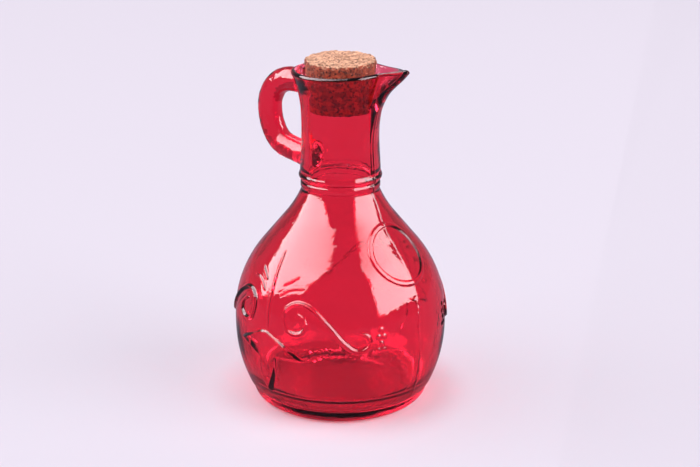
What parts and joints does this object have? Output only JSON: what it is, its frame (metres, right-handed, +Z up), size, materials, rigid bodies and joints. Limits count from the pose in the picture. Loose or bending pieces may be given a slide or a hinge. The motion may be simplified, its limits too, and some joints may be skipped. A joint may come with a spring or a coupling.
{
  "type": "glass oil bottle",
  "caption": "Pear-shaped moulded glass oil bottle with a flared mouth, pouring lip, loop handle on the neck and a tapered push-in cork.",
  "frame": {"origin": "centre of the ring that the bottle stands on, on the axis of the neck", "axes": "+Z up along the neck, +X towards the tip of the pouring lip, handle along -X"},
  "size_m": [0.085, 0.085, 0.1374],
  "materials": {
    "red_glass": "moulded and fire-polished, transparent ruby red",
    "cork": "raw agglomerated cork, cut and unsealed"
  },
  "bodies": {
    "bottle": {"glass_bottle": "red_glass"},
    "cork": {"cork_stopper": "cork"}
  },
  "joints": [
    {"name": "cork_pull", "type": "slide", "parent": "bottle", "child": "cork", "axis": [0, 0, 1], "range_m": [0, 0.06]}
  ]
}
